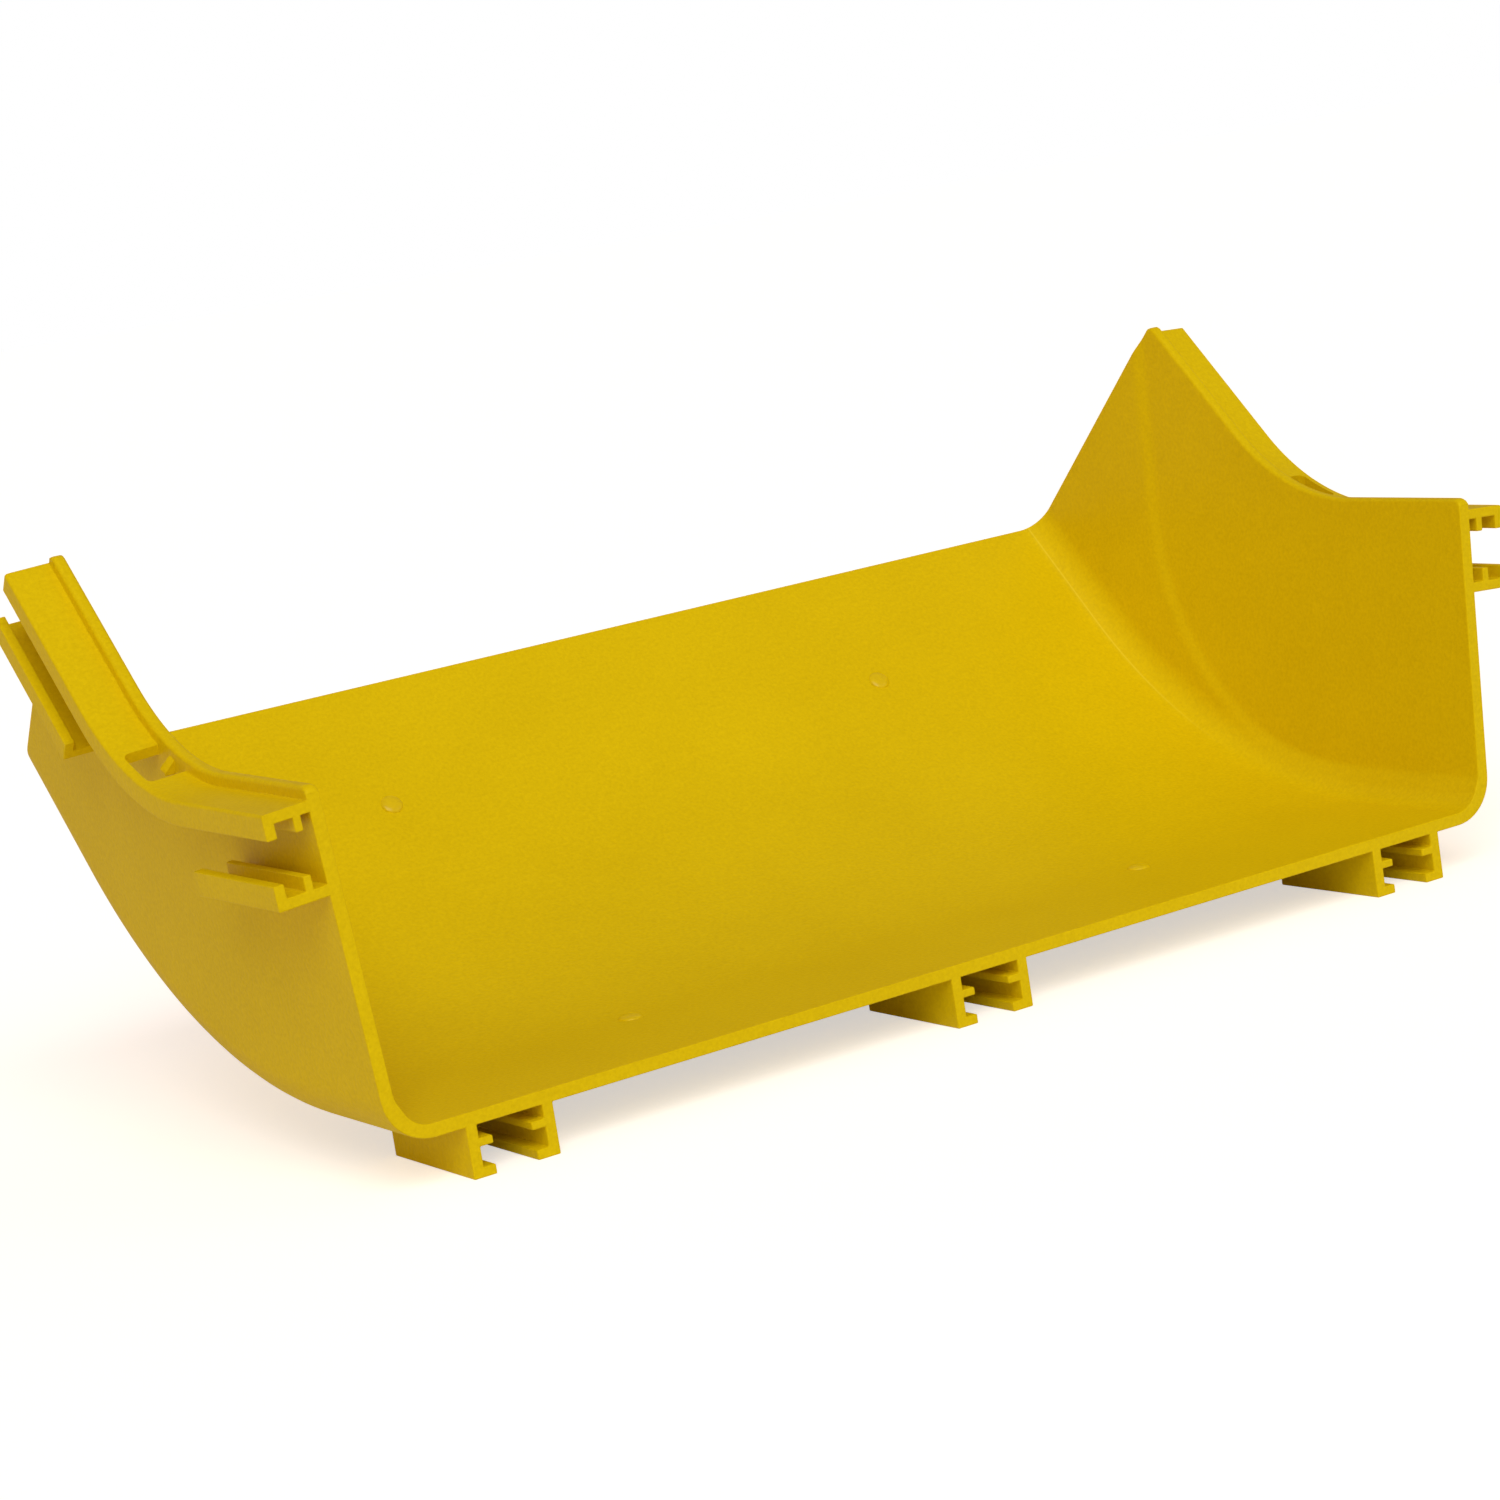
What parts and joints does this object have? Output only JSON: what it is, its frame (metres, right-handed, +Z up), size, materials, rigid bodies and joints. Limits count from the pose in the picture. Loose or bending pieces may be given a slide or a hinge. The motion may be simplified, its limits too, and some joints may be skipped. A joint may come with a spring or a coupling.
{
  "type": "fibre raceway elbow",
  "caption": "Upward-bending elbow of a wide fibre raceway: a U-shaped trough with flanged side walls, coupler channels at its ends and bracket rails underneath.",
  "frame": {"origin": "middle of the bounding box's footprint, at the level of the feet of the near end's rails", "axes": "+Z is up as installed with the near run level, +Y runs from the near end into the bend, +X is to the right seen from the near end"},
  "size_m": [0.3376, 0.1742, 0.1346],
  "materials": {
    "yellow_resin": "satin, fine-grained moulded surface"
  },
  "bodies": {
    "root": {"riser_elbow": "yellow_resin"}
  },
  "joints": []
}
